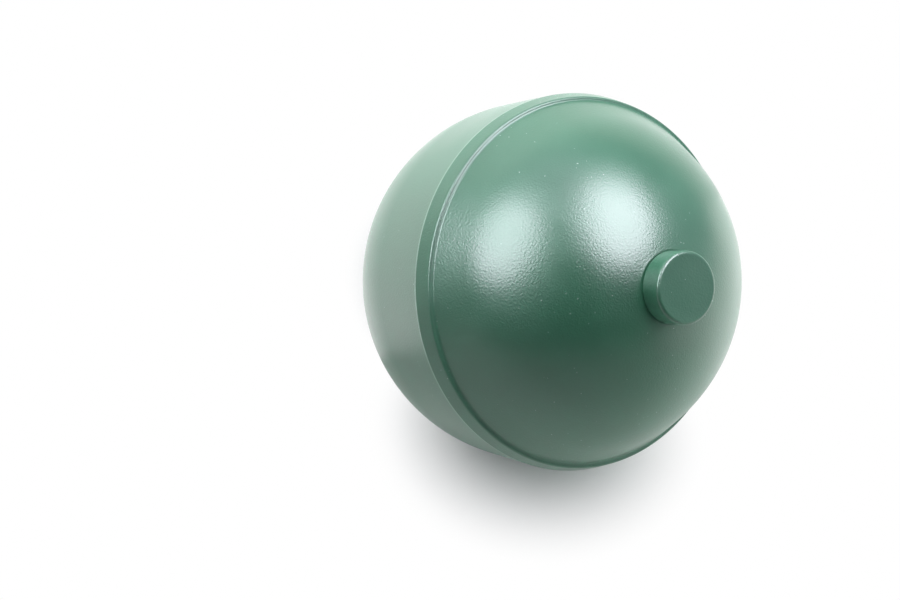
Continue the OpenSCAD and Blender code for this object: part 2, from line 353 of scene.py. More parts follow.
class Effect(Enum):
    """Effects that several finishes share, each a node group built once: its inputs and its outputs."""

    RIPPLE = (("Scale",), ("Height",))
    MOTTLE = (("Scale",), ("Tone",))
    DUST = (("Scale", "Size"), ("Mask",))
    RINGS = (("Lines",), ("Height",))

    def group(self) -> bpy.types.NodeTree:
        """Makes the effect's node group on first use.

        Returns:
            The node group.
        """
        name = self.name.lower()
        tree = bpy.data.node_groups.get(name)
        if tree:
            return tree
        tree = bpy.data.node_groups.new(name, "ShaderNodeTree")
        tree.interface.new_socket(name="Place", in_out="INPUT", socket_type="NodeSocketVector")
        for label in self.value[0]:
            tree.interface.new_socket(name=label, in_out="INPUT", socket_type="NodeSocketFloat")
        for label in self.value[1]:
            tree.interface.new_socket(name=label, in_out="OUTPUT", socket_type="NodeSocketFloat")
        graph = Graph(tree)
        entry = tree.nodes.new("NodeGroupInput")
        leave = tree.nodes.new("NodeGroupOutput")
        recipe: dict[Effect, Callable[[Graph, Any], bpy.types.NodeSocket]] = {
            Effect.RIPPLE: self._ripple,
            Effect.MOTTLE: self._mottle,
            Effect.DUST: self._dust,
            Effect.RINGS: self._rings,
        }
        tree.links.new(recipe[self](graph, entry.outputs), leave.inputs[0])
        return tree

    def use(self, graph: Graph, place: Any, **values: float) -> bpy.types.NodeSocket:
        """The group's output in a material, for the object's coordinates and the group's own inputs."""
        return graph.place("Group", {"Place": place, **values}, node_tree=self.group()).outputs[0]

    @staticmethod
    def _ripple(graph: Graph, entry: Any) -> bpy.types.NodeSocket:
        """Orange peel: soft noise, with noise of half the size at a third of the height.

        Args:
            graph: The group's nodes.
            entry: The group's inputs.

        Returns:
            The height.
        """
        finer, fine_share = 2.1, 0.33
        coarse = graph.noise(entry["Place"], entry["Scale"], 0.0)
        fine = graph.noise(entry["Place"], graph.maths("MULTIPLY", entry["Scale"], finer), 0.0)
        return graph.maths("MULTIPLY_ADD", fine, fine_share, coarse)

    @staticmethod
    def _mottle(graph: Graph, entry: Any) -> bpy.types.NodeSocket:
        """Uneven tone: fractal noise stretched to use the whole range from 0 to 1."""
        return graph.ramp(graph.noise(entry["Place"], entry["Scale"], 4.0), 0.3, 0.7)

    @staticmethod
    def _dust(graph: Graph, entry: Any) -> bpy.types.NodeSocket:
        """Specks: small balls round scattered points, in drifts that a wide noise picks out.

        Args:
            graph: The group's nodes.
            entry: The group's inputs.

        Returns:
            1 on a speck and 0 elsewhere.
        """
        drifts, smallest = 45.0, 0.35
        cells = graph.place("TexVoronoi", {"Vector": entry["Place"], "Scale": entry["Scale"]})
        drift = graph.ramp(graph.noise(entry["Place"], drifts), 0.35, 0.65, smallest, 1.0)
        size = graph.maths("MULTIPLY", entry["Size"], drift)
        return graph.maths("LESS_THAN", cells.outputs["Distance"], size)

    @staticmethod
    def _rings(graph: Graph, entry: Any) -> bpy.types.NodeSocket:
        """Tool marks of turning: noise over radius plus height, so that every mark runs round the axis.

        Args:
            graph: The group's nodes.
            entry: The group's inputs.

        Returns:
            The height.
        """
        parts = graph.place("SeparateXYZ", {0: entry["Place"]}).outputs
        flat = graph.place("CombineXYZ", {0: parts[0], 1: parts[1]}).outputs[0]
        radius = graph.vector("LENGTH", flat)["Value"]
        along = graph.maths("ADD", radius, parts[2])
        marks = graph.place("TexNoise", {"W": along, "Scale": entry["Lines"]}, noise_dimensions="1D")
        return marks.outputs[0]


@dataclass(frozen=True)
class Finish:
    """A finish with the parts that every finish here has.

    Attributes:
        name: The material's name.
        colour: Main colour.
        second: Colour of its paler or darker patches.
        rough: Lowest and highest roughness.
    """

    name: str
    colour: Colour
    second: Colour
    rough: tuple[float, float]

    def material(self) -> bpy.types.Material:
        """Makes the finish's material on first use.

        Returns:
            The material.
        """
        known = bpy.data.materials.get(self.name)
        if known:
            return known
        made = bpy.data.materials.new(self.name)
        made.use_nodes = True
        made.diffuse_color = (*self.colour, 1.0)
        graph = Graph(made.node_tree)
        shader = made.node_tree.nodes["Principled BSDF"]
        place = graph.place("TexCoord").outputs["Object"]
        self.fill(graph, shader, place)
        return made

    def fill(self, graph: Graph, shader: bpy.types.Node, place: bpy.types.NodeSocket) -> None:
        """Adds the finish's nodes and links them to the shader.

        Args:
            graph: The material's nodes.
            shader: Its Principled BSDF.
            place: Output that gives the object's coordinates.
        """
        raise NotImplementedError

    def dress(self, piece: bpy.types.Object) -> None:
        """Gives a piece this finish alone."""
        piece.data.materials.clear()
        piece.data.materials.append(self.material())


@dataclass(frozen=True)
class Enamel(Finish):
    """Semi-gloss sprayed enamel with orange peel and a little dust, on steel that is bare where masked, its
    paint paled along one stripe into a painted highlight.

    Attributes:
        dust: Colour of the dust specks.
        pale: Colour of the paint in the painted highlight.
        steel: Colour of the bare steel.
        gloss: Specular level of paint and steel.
        dust_rough: Roughness of the dust.
        steel_rough: Roughness of the bare steel.
        tone_scale: Patches of tone for each metre.
        dust_scale: Places for a speck for each metre.
        dust_size: Radius of the largest specks, as a share of the distance between places.
        peel: Height of the orange peel.
        peel_scale: Bumps of the orange peel for each metre.
        lines: Turning marks for each metre.
        marks: Height of the marks under the paint, as a share of the orange peel's.
    """

    dust: Colour = (0.45, 0.56, 0.50)
    pale: Colour = (0.15, 0.30, 0.21)
    steel: Colour = (0.20, 0.195, 0.185)
    gloss: float = 1.0
    dust_rough: float = 0.7
    steel_rough: float = 0.42
    tone_scale: float = 60.0
    dust_scale: float = 450.0
    dust_size: float = 0.06
    peel: float = 0.036 * MM
    peel_scale: float = 2100.0
    lines: float = 5200.0
    marks: float = 0.06

    def fill(self, graph: Graph, shader: bpy.types.Node, place: bpy.types.NodeSocket) -> None:
        """Mixes paint, dust, the painted highlight's paler paint and bare steel by their masks.

        Args:
            graph: The material's nodes.
            shader: Its Principled BSDF.
            place: Output that gives the object's coordinates.
        """
        cover = graph.place("Attribute", attribute_name="bare").outputs["Fac"]
        # Painted highlight: cover up to the middle value pales the paint to stand for an edge's highlight.
        highlight_share = graph.ramp(cover, Cover.PAINT.value, Cover.PAINTED_HIGHLIGHT.value)
        bare = graph.ramp(cover, Cover.PAINTED_HIGHLIGHT.value, Cover.METAL.value)
        tone = Effect.MOTTLE.use(graph, place, Scale=self.tone_scale)
        specks = Effect.DUST.use(graph, place, Scale=self.dust_scale, Size=self.dust_size)
        ripple = Effect.RIPPLE.use(graph, place, Scale=self.peel_scale)
        rings = Effect.RINGS.use(graph, place, Lines=self.lines)
        paint = graph.tint(specks, graph.tint(tone, self.colour, self.second), self.dust)
        paint_rough = graph.blend(specks, graph.blend(tone, *self.rough), self.dust_rough)
        paint_height = graph.maths("MULTIPLY_ADD", rings, self.marks, ripple)
        links = {
            "Base Color": graph.tint(bare, graph.tint(highlight_share, paint, self.pale), self.steel),
            "Roughness": graph.blend(bare, paint_rough, self.steel_rough),
            "Metallic": bare,
            "Normal": graph.bump(graph.blend(bare, paint_height, rings), self.peel),
        }
        graph.feed(shader, links)
        shader.inputs["Specular IOR Level"].default_value = self.gloss


@dataclass(frozen=True)
class Steel(Finish):
    """Bare, blued or plated steel with turning marks.

    Attributes:
        lines: Turning marks for each metre.
        marks: Height of the turning marks.
        tone_scale: Patches of tone for each metre.
    """

    lines: float = 6000.0
    marks: float = 0.006 * MM
    tone_scale: float = 140.0

    def fill(self, graph: Graph, shader: bpy.types.Node, place: bpy.types.NodeSocket) -> None:
        """Patches the tone and the roughness, and rings the surface with turning marks.

        Args:
            graph: The material's nodes.
            shader: Its Principled BSDF.
            place: Output that gives the object's coordinates.
        """
        tone = Effect.MOTTLE.use(graph, place, Scale=self.tone_scale)
        rings = Effect.RINGS.use(graph, place, Lines=self.lines)
        links = {
            "Base Color": graph.tint(tone, self.colour, self.second),
            "Roughness": graph.blend(graph.maths("MULTIPLY", tone, rings), *self.rough),
            "Normal": graph.bump(rings, self.marks),
        }
        graph.feed(shader, links)
        shader.inputs["Metallic"].default_value = 1.0


@dataclass(frozen=True)
class Rubber(Finish):
    """Matt moulded rubber with a bloom.

    Attributes:
        grain: Height of the mould's grain.
        grain_scale: Bumps of the grain for each metre.
        tone_scale: Patches of tone for each metre.
    """

    grain: float = 0.02 * MM
    grain_scale: float = 1800.0
    tone_scale: float = 90.0

    def fill(self, graph: Graph, shader: bpy.types.Node, place: bpy.types.NodeSocket) -> None:
        """Greys the black in patches and roughens it with the mould's grain.

        Args:
            graph: The material's nodes.
            shader: Its Principled BSDF.
            place: Output that gives the object's coordinates.
        """
        tone = Effect.MOTTLE.use(graph, place, Scale=self.tone_scale)
        grain = Effect.RIPPLE.use(graph, place, Scale=self.grain_scale)
        links = {
            "Base Color": graph.tint(tone, self.colour, self.second),
            "Roughness": graph.blend(tone, *self.rough),
            "Normal": graph.bump(grain, self.grain),
        }
        graph.feed(shader, links)


GREEN_ENAMEL = Enamel("green_enamel", (0.041, 0.158, 0.089), (0.045, 0.170, 0.097), (0.28, 0.33))
PHOSPHATED = Steel("phosphated_steel", (0.16, 0.155, 0.145), (0.24, 0.235, 0.225), (0.34, 0.52))
TURNED = Steel("turned_steel", (0.46, 0.45, 0.43), (0.54, 0.53, 0.51), (0.24, 0.4))
BLUED = Steel(
    "blued_spring_steel", (0.20, 0.23, 0.30), (0.30, 0.30, 0.32), (0.2, 0.32), lines=9000.0, marks=0.002 * MM
)
PLATED = Steel("zinc_plated_steel", (0.58, 0.50, 0.30), (0.62, 0.56, 0.42), (0.22, 0.36))
NITRILE = Rubber("nitrile_rubber", (0.018, 0.018, 0.019), (0.035, 0.035, 0.036), (0.55, 0.72))


@dataclass(frozen=True)
class Domes:
    """Sizes that both shells share.

    Attributes:
        outer: Outside radius of both domes.
        wall: Wall of both domes.
        lower_z: Height of the lower dome's centre.
        upper_z: Height of the upper dome's centre.
        joint_z: Height of the joint face.
        skirt: Latitude on the upper dome, in degrees, below which it runs straight down to the joint.
        bore: Radius of the rim's bore.
        gap: Radial clearance of what is seated in the bore.
        edge: Round on the edges that the paint softens.
        crisp: Round on machined edges.
    """

    outer: float = 53 * MM
    wall: float = 5 * MM
    lower_z: float = 64.986 * MM
    upper_z: float = 72.386 * MM
    joint_z: float = 91.586 * MM
    skirt: float = 31.0
    bore: float = 47.7 * MM
    gap: float = 0.05 * MM
    edge: float = 0.3 * MM
    crisp: float = 0.12 * MM

    @property
    def inner(self) -> float:
        """Inside radius of both domes."""
        return self.outer - self.wall

    @property
    def skirt_top(self) -> Point:
        """Point of the upper dome where the skirt leaves it."""
        a = math.radians(self.skirt)
        return self.outer * math.cos(a), self.upper_z + self.outer * math.sin(a)

    def skirt_r(self, height: float) -> float:
        """Outside radius of the skirt at a height."""
        out, top = self.skirt_top
        return out + (top - height) * math.tan(math.radians(self.skirt))

    @property
    def joint_r(self) -> float:
        """Outside radius of the skirt at the joint face."""
        return self.skirt_r(self.joint_z)

    def lower(self, radius: float, start: float, end: float, **options: Any) -> Stroke:
        """Arc of a given radius about the lower dome's centre."""
        return arc((0, self.lower_z), radius, start, end, **options)

    def upper(self, radius: float, start: float, end: float, **options: Any) -> Stroke:
        """Arc of a given radius about the upper dome's centre."""
        return arc((0, self.upper_z), radius, start, end, **options)

    def rise(self, radius: float, height: float) -> float:
        """Angle, seen from the upper centre, of the point of an upper arc at a height, in degrees."""
        return math.degrees(math.asin((height - self.upper_z) / radius))

    def fall(self, radius: float, out: float) -> float:
        """Angle, seen from the lower centre, of the point of a lower arc at a distance from the axis."""
        return -math.degrees(math.acos(out / radius))


@dataclass(frozen=True)
class LowerShell:
    """Fluid-side bowl with the straight wall, the conical shoulder and the threaded neck.

    Attributes:
        domes: Sizes shared with the upper shell.
        wall_draft: How much the wall narrows up to the shoulder.
        wall_round: Round where the wall turns into the shoulder.
        highlight_w: Width of the stripe below that edge where the paint is paled into a painted highlight.
        shoulder_h: Height of the shoulder below the joint.
        shoulder_over: Distance of the shoulder's upper edge from the upper dome.
        shoulder_round: Radius on the shoulder's upper edge.
        thread_r: Outside radius of the thread.
        thread_chamfer: Chamfer at the thread's start.
        pitch: The thread's pitch.
        relief_w: Width of the thread's run-out groove.
        relief_depth: Depth of that groove.
        undercut_h: Depth of the undercut inside the seal face.
        land_margin: Width of the undercut's ring outside the thread.
        neck_h: Height of the seal face.
        seal_r: Radius of the seal face.
        seal_rim_h: Height of the seal face's rim.
        seal_chamfer: Chamfer on the seal face's outer edge.
        port_r: Radius of the port into the bowl.
        seat_z: Height of the damper's seat.
        pocket_r: Radius of the damper's pocket.
        crimp_h: Height of the crimped lip.
        crimp_reach: Reach of the crimped lip over the damper.
        stake: Depth of the crimping groove.
        ledge_z: Height of the ledge that the diaphragm's bead lies on.

    DEPTH_SHARE is the depth of a metric thread as a share of its pitch.
    """

    DEPTH_SHARE = 0.6134

    domes: Domes
    wall_draft: float = 0.1 * MM
    wall_round: float = 0.6 * MM
    highlight_w: float = 0.5 * MM
    shoulder_h: float = 4.5 * MM
    shoulder_over: float = 1.1 * MM
    shoulder_round: float = 0.7 * MM
    thread_r: float = 17.5 * MM
    thread_chamfer: float = 1.2 * MM
    pitch: float = 1.5 * MM
    relief_w: float = 1.8 * MM
    relief_depth: float = 1.1 * MM
    undercut_h: float = 0.3 * MM
    land_margin: float = 0.6 * MM
    neck_h: float = 13.5 * MM
    seal_r: float = 22.5 * MM
    seal_rim_h: float = 3.5 * MM
    seal_chamfer: float = 0.8 * MM
    port_r: float = 8.5 * MM
    seat_z: float = 12.5 * MM
    pocket_r: float = 11.05 * MM
    crimp_h: float = 1.5 * MM
    crimp_reach: float = 1 * MM
    stake: float = 0.5 * MM
    ledge_z: float = 84.286 * MM

    @property
    def depth(self) -> float:
        """Depth of the thread."""
        return self.DEPTH_SHARE * self.pitch

    def section(self) -> Section:
        """Draws the shell from the crimped lip out and up to the shoulder, and back down inside.

        Returns:
            The section.
        """
        d = self.domes
        metal = Cover.METAL
        root = self.thread_r - self.depth
        start = self.thread_r - self.thread_chamfer
        groove = self.thread_r - self.relief_depth
        groove_z = self.neck_h - self.relief_w + self.relief_depth
        lip = self.pocket_r - self.crimp_reach
        end_face = [
            (lip, 0),
            (self.pocket_r, 0),
            (self.pocket_r + self.stake, self.stake),
            (self.pocket_r + 2 * self.stake, 0),
            (start, 0),
            (root, root - start),
            (root, groove_z - (root - groove)),
            (groove, groove_z),
            (groove, self.neck_h + self.undercut_h),
            (self.thread_r + self.land_margin, self.neck_h),
            (self.seal_r - self.seal_chamfer, self.neck_h),
            (self.seal_r, self.neck_h + self.seal_chamfer),
        ]
        rim_top = (self.seal_r, self.neck_h + self.seal_rim_h)
        wall_top = (d.outer - self.wall_draft, d.joint_z - self.shoulder_h)
        edge_r = d.joint_r + self.shoulder_over
        lean = math.atan2(wall_top[0] - edge_r, self.shoulder_h)
        cut = self.shoulder_round * math.tan((math.pi / 2 - lean) / 2)
        cone_top = (edge_r + cut * math.sin(lean), d.joint_z - cut * math.cos(lean))
        highlight_start = (wall_top[0], wall_top[1] - self.highlight_w)
        crown = (edge_r - cut, d.joint_z - self.shoulder_round)
        ledge = (half_chord(d.inner, self.ledge_z - d.upper_z), self.ledge_z)
        port_z = d.lower_z - half_chord(d.inner, self.port_r)
        rim = [(d.joint_r, d.joint_z), (d.bore, d.joint_z), (d.bore, self.ledge_z), ledge]
        neck_bore = [
            (self.port_r, port_z),
            (self.port_r, self.seat_z),
            (self.pocket_r, self.seat_z),
            (self.pocket_r, self.crimp_h),
            (lip, self.crimp_h),
            (lip, 0),
        ]
        return Section(
            [
                *lines(end_face, d.crisp, metal),
                line(end_face[-1], rim_top, d.edge),
                d.lower(d.outer, d.fall(d.outer, self.seal_r), 0),
                line((d.outer, d.lower_z), highlight_start),
                # Painted highlight: this stripe below the wall's edge is paled to stand for the light that
                # edge catches.
                line(highlight_start, wall_top, self.wall_round, Cover.PAINTED_HIGHLIGHT),
                line(wall_top, cone_top),
                arc(crown, self.shoulder_round, math.degrees(lean), 90),
                line((crown[0], d.joint_z), (d.joint_r, d.joint_z)),
                *lines(rim, d.crisp, metal),
                d.upper(d.inner, d.rise(d.inner, self.ledge_z), 0, cover=metal),
                line((d.inner, d.upper_z), (d.inner, d.lower_z), cover=metal),
                d.lower(d.inner, 0, d.fall(d.inner, self.port_r), corner=d.edge, cover=metal),
                *lines(neck_bore, d.crisp, metal),
            ]
        )

    def thread(self) -> Surface:
        """The thread's ridge: a 60-degree trapezium carried along a helix.

        A point of the ridge lies at height z + o and at radius root + h, or root + depth t where that is
        less. Here o and h are its place in the trapezium, z climbs one pitch a turn, and t falls from 1 to 0
        over a third of a turn at each end. The start's chamfer cuts the ridge off at its cone.

        Returns:
            The ridge's surface, with a pole at each end.
        """
        root = self.thread_r - self.depth
        flank = math.radians(30)
        half_crest = self.pitch / 16
        half_base = half_crest + self.depth * math.tan(flank)
        sunk, soft, lead = -0.1 * MM, 0.05 * MM, 0.2 * MM
        steps = 128
        corners = [
            (sunk, -half_base),
            (0, -half_base),
            (self.depth, -half_crest),
            (self.depth, half_crest),
            (0, half_base),
            (sunk, half_base),
        ]
        ring = Section(lines([*corners, corners[0]], soft, Cover.METAL))
        bottom, top = half_base + lead, self.neck_h - self.relief_w - half_crest
        turns = (top - bottom) / self.pitch
        share = np.linspace(0, 1, round(turns * steps))[:, None]
        angle = 2 * math.pi * turns * share
        taper = np.clip(3 * turns * np.minimum(share, 1 - share), 0, 1)
        out, along = ring.points[::-1].T
        height = bottom + (top - bottom) * share + along
        radius = root + np.minimum(out, self.depth * taper)
        radius = np.minimum(radius, self.thread_r - self.thread_chamfer + height)
        rows = np.stack([radius * np.cos(angle), radius * np.sin(angle), height], axis=-1)
        return Surface(rows, np.ones(len(rows)), closed=False)

    def build(self) -> None:
        """Makes the bowl and its thread and sets them on the shell."""
        bowl = Surface.turned(self.section()).mesh_object("lower_shell_bowl")
        GREEN_ENAMEL.dress(bowl)
        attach(bowl, "shell")
        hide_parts("lower_shell")
        thread = self.thread().mesh_object("neck_thread")
        PHOSPHATED.dress(thread)
        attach(thread, "shell")


@dataclass(frozen=True)
class UpperShell:
    """Gas-side dome, its plug and the weld that joins it to the shoulder.

    Attributes:
        domes: Sizes shared with the lower shell.
        spigot_z: Height of the spigot's lower face.
        spot_r: Radius of the spot face round the plug.
        hole_r: Radius of the gas hole.
        shank_r: Radius of the plug's shank.
        plug_r: Radius of the plug's head.
        plug_round: Radius on the plug's upper edge.
        plug_chamfer: Chamfer under the plug's head.
        weld_leg: Leg of the weld.
        weld_sunk: How far the weld reaches into the shells.

    FACE_POINTS counts the points across the weld's hollow face.
    """

    FACE_POINTS = 14

    domes: Domes
    spigot_z: float = 88.786 * MM
    spot_r: float = 9.6 * MM
    hole_r: float = 4.05 * MM
    shank_r: float = 4 * MM
    plug_r: float = 9.2 * MM
    plug_round: float = 0.9 * MM
    plug_chamfer: float = 0.4 * MM
    weld_leg: float = 0.35 * MM
    weld_sunk: float = 0.3 * MM

    @property
    def spot_z(self) -> float:
        """Height of the spot face."""
        return self.domes.upper_z + half_chord(self.domes.outer, self.spot_r)

    def section(self) -> Section:
        """Draws the dome from the spigot out to the joint, up to the spot face and back inside.

        Returns:
            The section.
        """
        d = self.domes
        metal = Cover.METAL
        spigot_in = half_chord(d.inner, self.spigot_z - d.upper_z)
        seat = d.bore - d.gap
        hole_z = d.upper_z + half_chord(d.inner, self.hole_r)
        spot_angle = math.degrees(math.acos(self.spot_r / d.outer))
        hole_angle = math.degrees(math.acos(self.hole_r / d.inner))
        spigot = [
            (spigot_in, self.spigot_z),
            (seat, self.spigot_z),
            (seat, d.joint_z),
            (d.joint_r, d.joint_z),
        ]
        return Section(
            [
                *lines(spigot, d.crisp, metal),
                line(spigot[-1], d.skirt_top),
                d.upper(d.outer, d.skirt, spot_angle, corner=d.crisp),
                line((self.spot_r, self.spot_z), (self.hole_r, self.spot_z), d.crisp),
                line((self.hole_r, self.spot_z), (self.hole_r, hole_z), d.crisp, metal),
                d.upper(d.inner, hole_angle, d.rise(d.inner, self.spigot_z), corner=d.crisp, cover=metal),
            ]
        )

    def plug(self) -> Section:
        """Draws the plug from the axis below the shank to the axis on top of the head.

        Returns:
            The section.
        """
        low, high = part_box("fill_plug")
        side = self.plug_r - self.plug_chamfer
        shank = [(0, low.z), (self.shank_r, low.z), (self.shank_r, self.spot_z)]
        head = [
            (self.shank_r, self.spot_z),
            (side, self.spot_z),
            (self.plug_r, self.spot_z + self.plug_chamfer),
            (self.plug_r, high.z),
            (0, high.z),
        ]
        strokes = [*lines(shank, self.domes.edge, Cover.METAL), *lines(head[:3], self.domes.crisp)]
        strokes += lines(head[2:], self.plug_round)
        return Section(strokes, closed=False)

    def weld(self) -> Section:
        """Draws the weld, a hollow fillet that runs out on the shoulder's top and on the dome.

        Returns:
            The section.
        """
        d = self.domes
        corner = (d.joint_r + d.gap, d.joint_z)
        toe = (d.skirt_r(d.joint_z + self.weld_leg), d.joint_z + self.weld_leg)
        foot = (corner[0] + self.weld_leg, d.joint_z)
        hollow = bend(foot, corner, toe, self.FACE_POINTS)
        low = d.joint_z - self.weld_sunk
        back = [
            toe,
            (toe[0] - self.weld_sunk, toe[1]),
            (corner[0] - self.weld_sunk, low),
            (foot[0], low),
            foot,
        ]
        return Section([Stroke(hollow), *lines(back)])

    def build(self) -> None:
        """Makes the dome, the plug and the weld and sets them on the shell."""
        made = {
            "upper_shell": (self.section(), "upper_shell_dome"),
            "fill_plug": (self.plug(), "gas_plug"),
            "joint_weld": (self.weld(), "joint_fillet"),
        }
        for node, (section, name) in made.items():
            piece = Surface.turned(section).mesh_object(name)
            GREEN_ENAMEL.dress(piece)
            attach(piece, "shell")
            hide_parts(node)


@dataclass(frozen=True)
class Diaphragm:
    """Moulded membrane between the gas and the fluid; the real one rolls up with its button, and here it
    keeps one shape.

    Attributes:
        domes: Sizes of the shells round it.
        outer: Outside radius of the membrane.
        thick: Thickness of the membrane.
        ledge_z: Height of the bead's underside.
        bead_z: Height of the bead's top.
        plate: Radius of the sphere that clears the button's plate.
        button_r: Radius of the room for the button.
        stem_r: Radius of the room for the stem.
        head_r: Radius of the room for the stem's head.
        head_z: Lowest and highest level of the room for the stem's head.
        fold_z: Height below which the membrane rolls up. Not used.
        soft: Round on the moulded edges.
        hub_round: Round on the hub over the stem's head.
    """

    domes: Domes
    outer: float = 47.7 * MM
    thick: float = 2.2 * MM
    ledge_z: float = 84.286 * MM
    bead_z: float = 87.286 * MM
    plate: float = 44.4 * MM
    button_r: float = 13.3 * MM
    stem_r: float = 3.8 * MM
    head_r: float = 5.8 * MM
    head_z: tuple[float, float] = (22.386 * MM, 24.586 * MM)
    fold_z: float = 60 * MM
    soft: float = 0.5 * MM
    hub_round: float = 1 * MM

    @property
    def hub_z(self) -> float:
        """Height of the hub's top."""
        return self.head_z[1] + self.thick

    def section(self) -> Section:
        """Draws the membrane from the room for the stem out and up to the bead, and back on top.

        Returns:
            The section.
        """
        d = self.domes
        inner = self.outer - self.thick
        bead_in = half_chord(inner, self.bead_z - d.upper_z)
        bead_out = d.bore - d.gap
        rise = self.ledge_z - d.upper_z
        pad_r, hub_r = self.button_r + self.thick, self.head_r + self.thick
        pad = self.plate - self.thick
        hub_z = self.hub_z

        def low(radius: float, out: float) -> Point:
            """Point of a lower arc at a distance from the axis."""
            return out, d.lower_z - half_chord(radius, out)

        room = [
            (0, self.head_z[1]),
            (self.head_r, self.head_z[1]),
            (self.head_r, self.head_z[0]),
            (self.stem_r, self.head_z[0]),
            low(self.plate, self.stem_r),
        ]
        bead = [
            (half_chord(self.outer, rise), self.ledge_z),
            (bead_out, self.ledge_z),
            (bead_out, self.bead_z),
            (bead_in, self.bead_z),
            (bead_in, self.ledge_z),
            (half_chord(inner, rise), self.ledge_z),
        ]
        edge = d.edge
        plate_span = d.fall(self.plate, self.stem_r), d.fall(self.plate, self.button_r)
        return Section(
            [
                *lines(room, edge),
                d.lower(self.plate, *plate_span, corner=edge),
                line(low(self.plate, self.button_r), low(self.outer, self.button_r), edge),
                d.lower(self.outer, d.fall(self.outer, self.button_r), 0),
                line((self.outer, d.lower_z), (self.outer, d.upper_z)),
                d.upper(self.outer, 0, d.rise(self.outer, self.ledge_z), corner=edge),
                *lines(bead, edge),
                d.upper(inner, d.rise(inner, self.ledge_z), 0),
                line((inner, d.upper_z), (inner, d.lower_z)),
                d.lower(inner, 0, d.fall(inner, pad_r), corner=self.soft),
                line(low(inner, pad_r), low(pad, pad_r), self.soft),
                d.lower(pad, d.fall(pad, pad_r), d.fall(pad, hub_r), corner=self.soft),
                line(low(pad, hub_r), (hub_r, hub_z), self.hub_round),
                line((hub_r, hub_z), (0, hub_z)),
            ],
            closed=False,
        )

    def build(self) -> None:
        """Makes the membrane and hides the diaphragm's solid."""
        piece = Surface.turned(self.section(), segments=160).mesh_object("moulded_diaphragm")
        NITRILE.dress(piece)
        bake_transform(piece)
        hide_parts("diaphragm")


@dataclass(frozen=True)
class Valve:
    """The pieces inside that keep their solids.

    Attributes:
        finishes: Slots of the record, each with the finish that its pieces get.
    """

    finishes: tuple[tuple[str, Finish], ...] = (
        ("plated_steel", PLATED),
        ("turned_steel", TURNED),
        ("spring_steel", BLUED),
    )

    def dress(self) -> None:
        """Gives each shown solid the finish of its slot."""
        by_slot = dict(self.finishes)
        for part in frame["record"]["subparts"]:
            finish = by_slot.get(part["material_slot"])
            if finish:
                finish.dress(frame["nodes"][part["node"]])
                LOG.info("%s: %s", part["node"], finish.name)


def direction(azimuth: float, elevation: float) -> Vector:
    """Unit vector towards an azimuth and elevation in degrees, azimuth 0 being -Y and 90 being +X."""
    a, e = math.radians(azimuth), math.radians(elevation)
    return Vector((math.sin(a) * math.cos(e), -math.cos(a) * math.cos(e), math.sin(e)))


@dataclass(frozen=True)
class Camera:
    """Camera at the photograph's angle, rolled so that the axis lies across the picture.

    Attributes:
        azimuth: Where it stands round the axis, in degrees.
        elevation: How high it stands, in degrees.
        roll: Turn about the line of sight, in degrees.
        lens: Focal length in millimetres.
        sight: Place of the lower dome's centre before the camera: right, up and away.
        sensor: Width of the sensor in millimetres.
        near: Distance within which nothing is shown.
    """

    azimuth: float = 70.8
    elevation: float = 61.41
    roll: float = 94.88
    lens: float = 43.75
    sight: tuple[float, float, float] = (27.08 * MM, 5.64 * MM, 326.78 * MM)
    sensor: float = 36.0
    near: float = 10 * MM

    def build(self, target: Vector) -> None:
        """Makes the camera and gives it to the scene.

        Args:
            target: The lower dome's centre.
        """
        toward = direction(self.azimuth, self.elevation)
        level = Vector((0, 0, 1)).cross(toward).normalized()
        rise = toward.cross(level)
        turn = math.radians(self.roll)
        right = level * math.cos(turn) + rise * math.sin(turn)
        up = toward.cross(right)
        x, y, away = self.sight
        place = target - right * x - up * y + toward * away
        data = bpy.data.cameras.new("camera")
        data.lens, data.sensor_width, data.clip_start = self.lens, self.sensor, self.near
        made = linked("camera", data)
        basis = Matrix((right, up, toward)).transposed().to_4x4()
        made.matrix_world = Matrix.Translation(place) @ basis
        bpy.context.scene.camera = made


class Glow(Enum):
    """What a lamp serves: whether matt light and gloss see it."""

    MATT = (True, False)
    GLOSS = (False, True)


@dataclass(frozen=True)
class Lamp:
    """Round or oval soft box.

    Attributes:
        name: Its name.
        azimuth: Where it stands round the axis, in degrees.
        elevation: How high it stands, in degrees.
        radius: Half the height of its face.
        power: Its power in watts.
        glow: Whether it is the matt light or what gloss shows.
        distance: Its distance from the sphere.
        colour: Colour of its light.
        stretch: Width of its face over the height.
    """

    name: str
    azimuth: float
    elevation: float
    radius: float
    power: float
    glow: Glow
    distance: float = 0.6
    colour: Colour = (0.93, 0.90, 1.0)
    stretch: float = 1.0

    def build(self, target: Vector, zero: float) -> None:
        """Makes the lamp, turned to the target.

        Args:
            target: What it shines on.
            zero: The azimuth that its own counts from.
        """
        data = bpy.data.lights.new(self.name, "AREA")
        data.shape = "ELLIPSE"
        data.size, data.size_y = 2 * self.radius * self.stretch, 2 * self.radius
        data.energy, data.color = self.power, self.colour
        made = linked(self.name, data)
        back = direction(zero + self.azimuth, self.elevation)
        made.rotation_mode = "QUATERNION"
        made.rotation_quaternion = (-back).to_track_quat("-Z", "Y")
        made.location = target + back * self.distance
        made.visible_camera = False
        made.visible_diffuse, made.visible_glossy = self.glow.value


@dataclass(frozen=True)
class PaintedReflection:
    """Painted reflection: how brightly a paper glows in gloss, brighter or darker than its real light,
    changing along one direction.

    Attributes:
        levels: Brightness before and after the change.
        run: Direction of the change.
        ends: Distances along the run, from the paper's spot, where the change starts and ends.
    """

    levels: tuple[float, float]
    run: Vector
    ends: tuple[float, float]


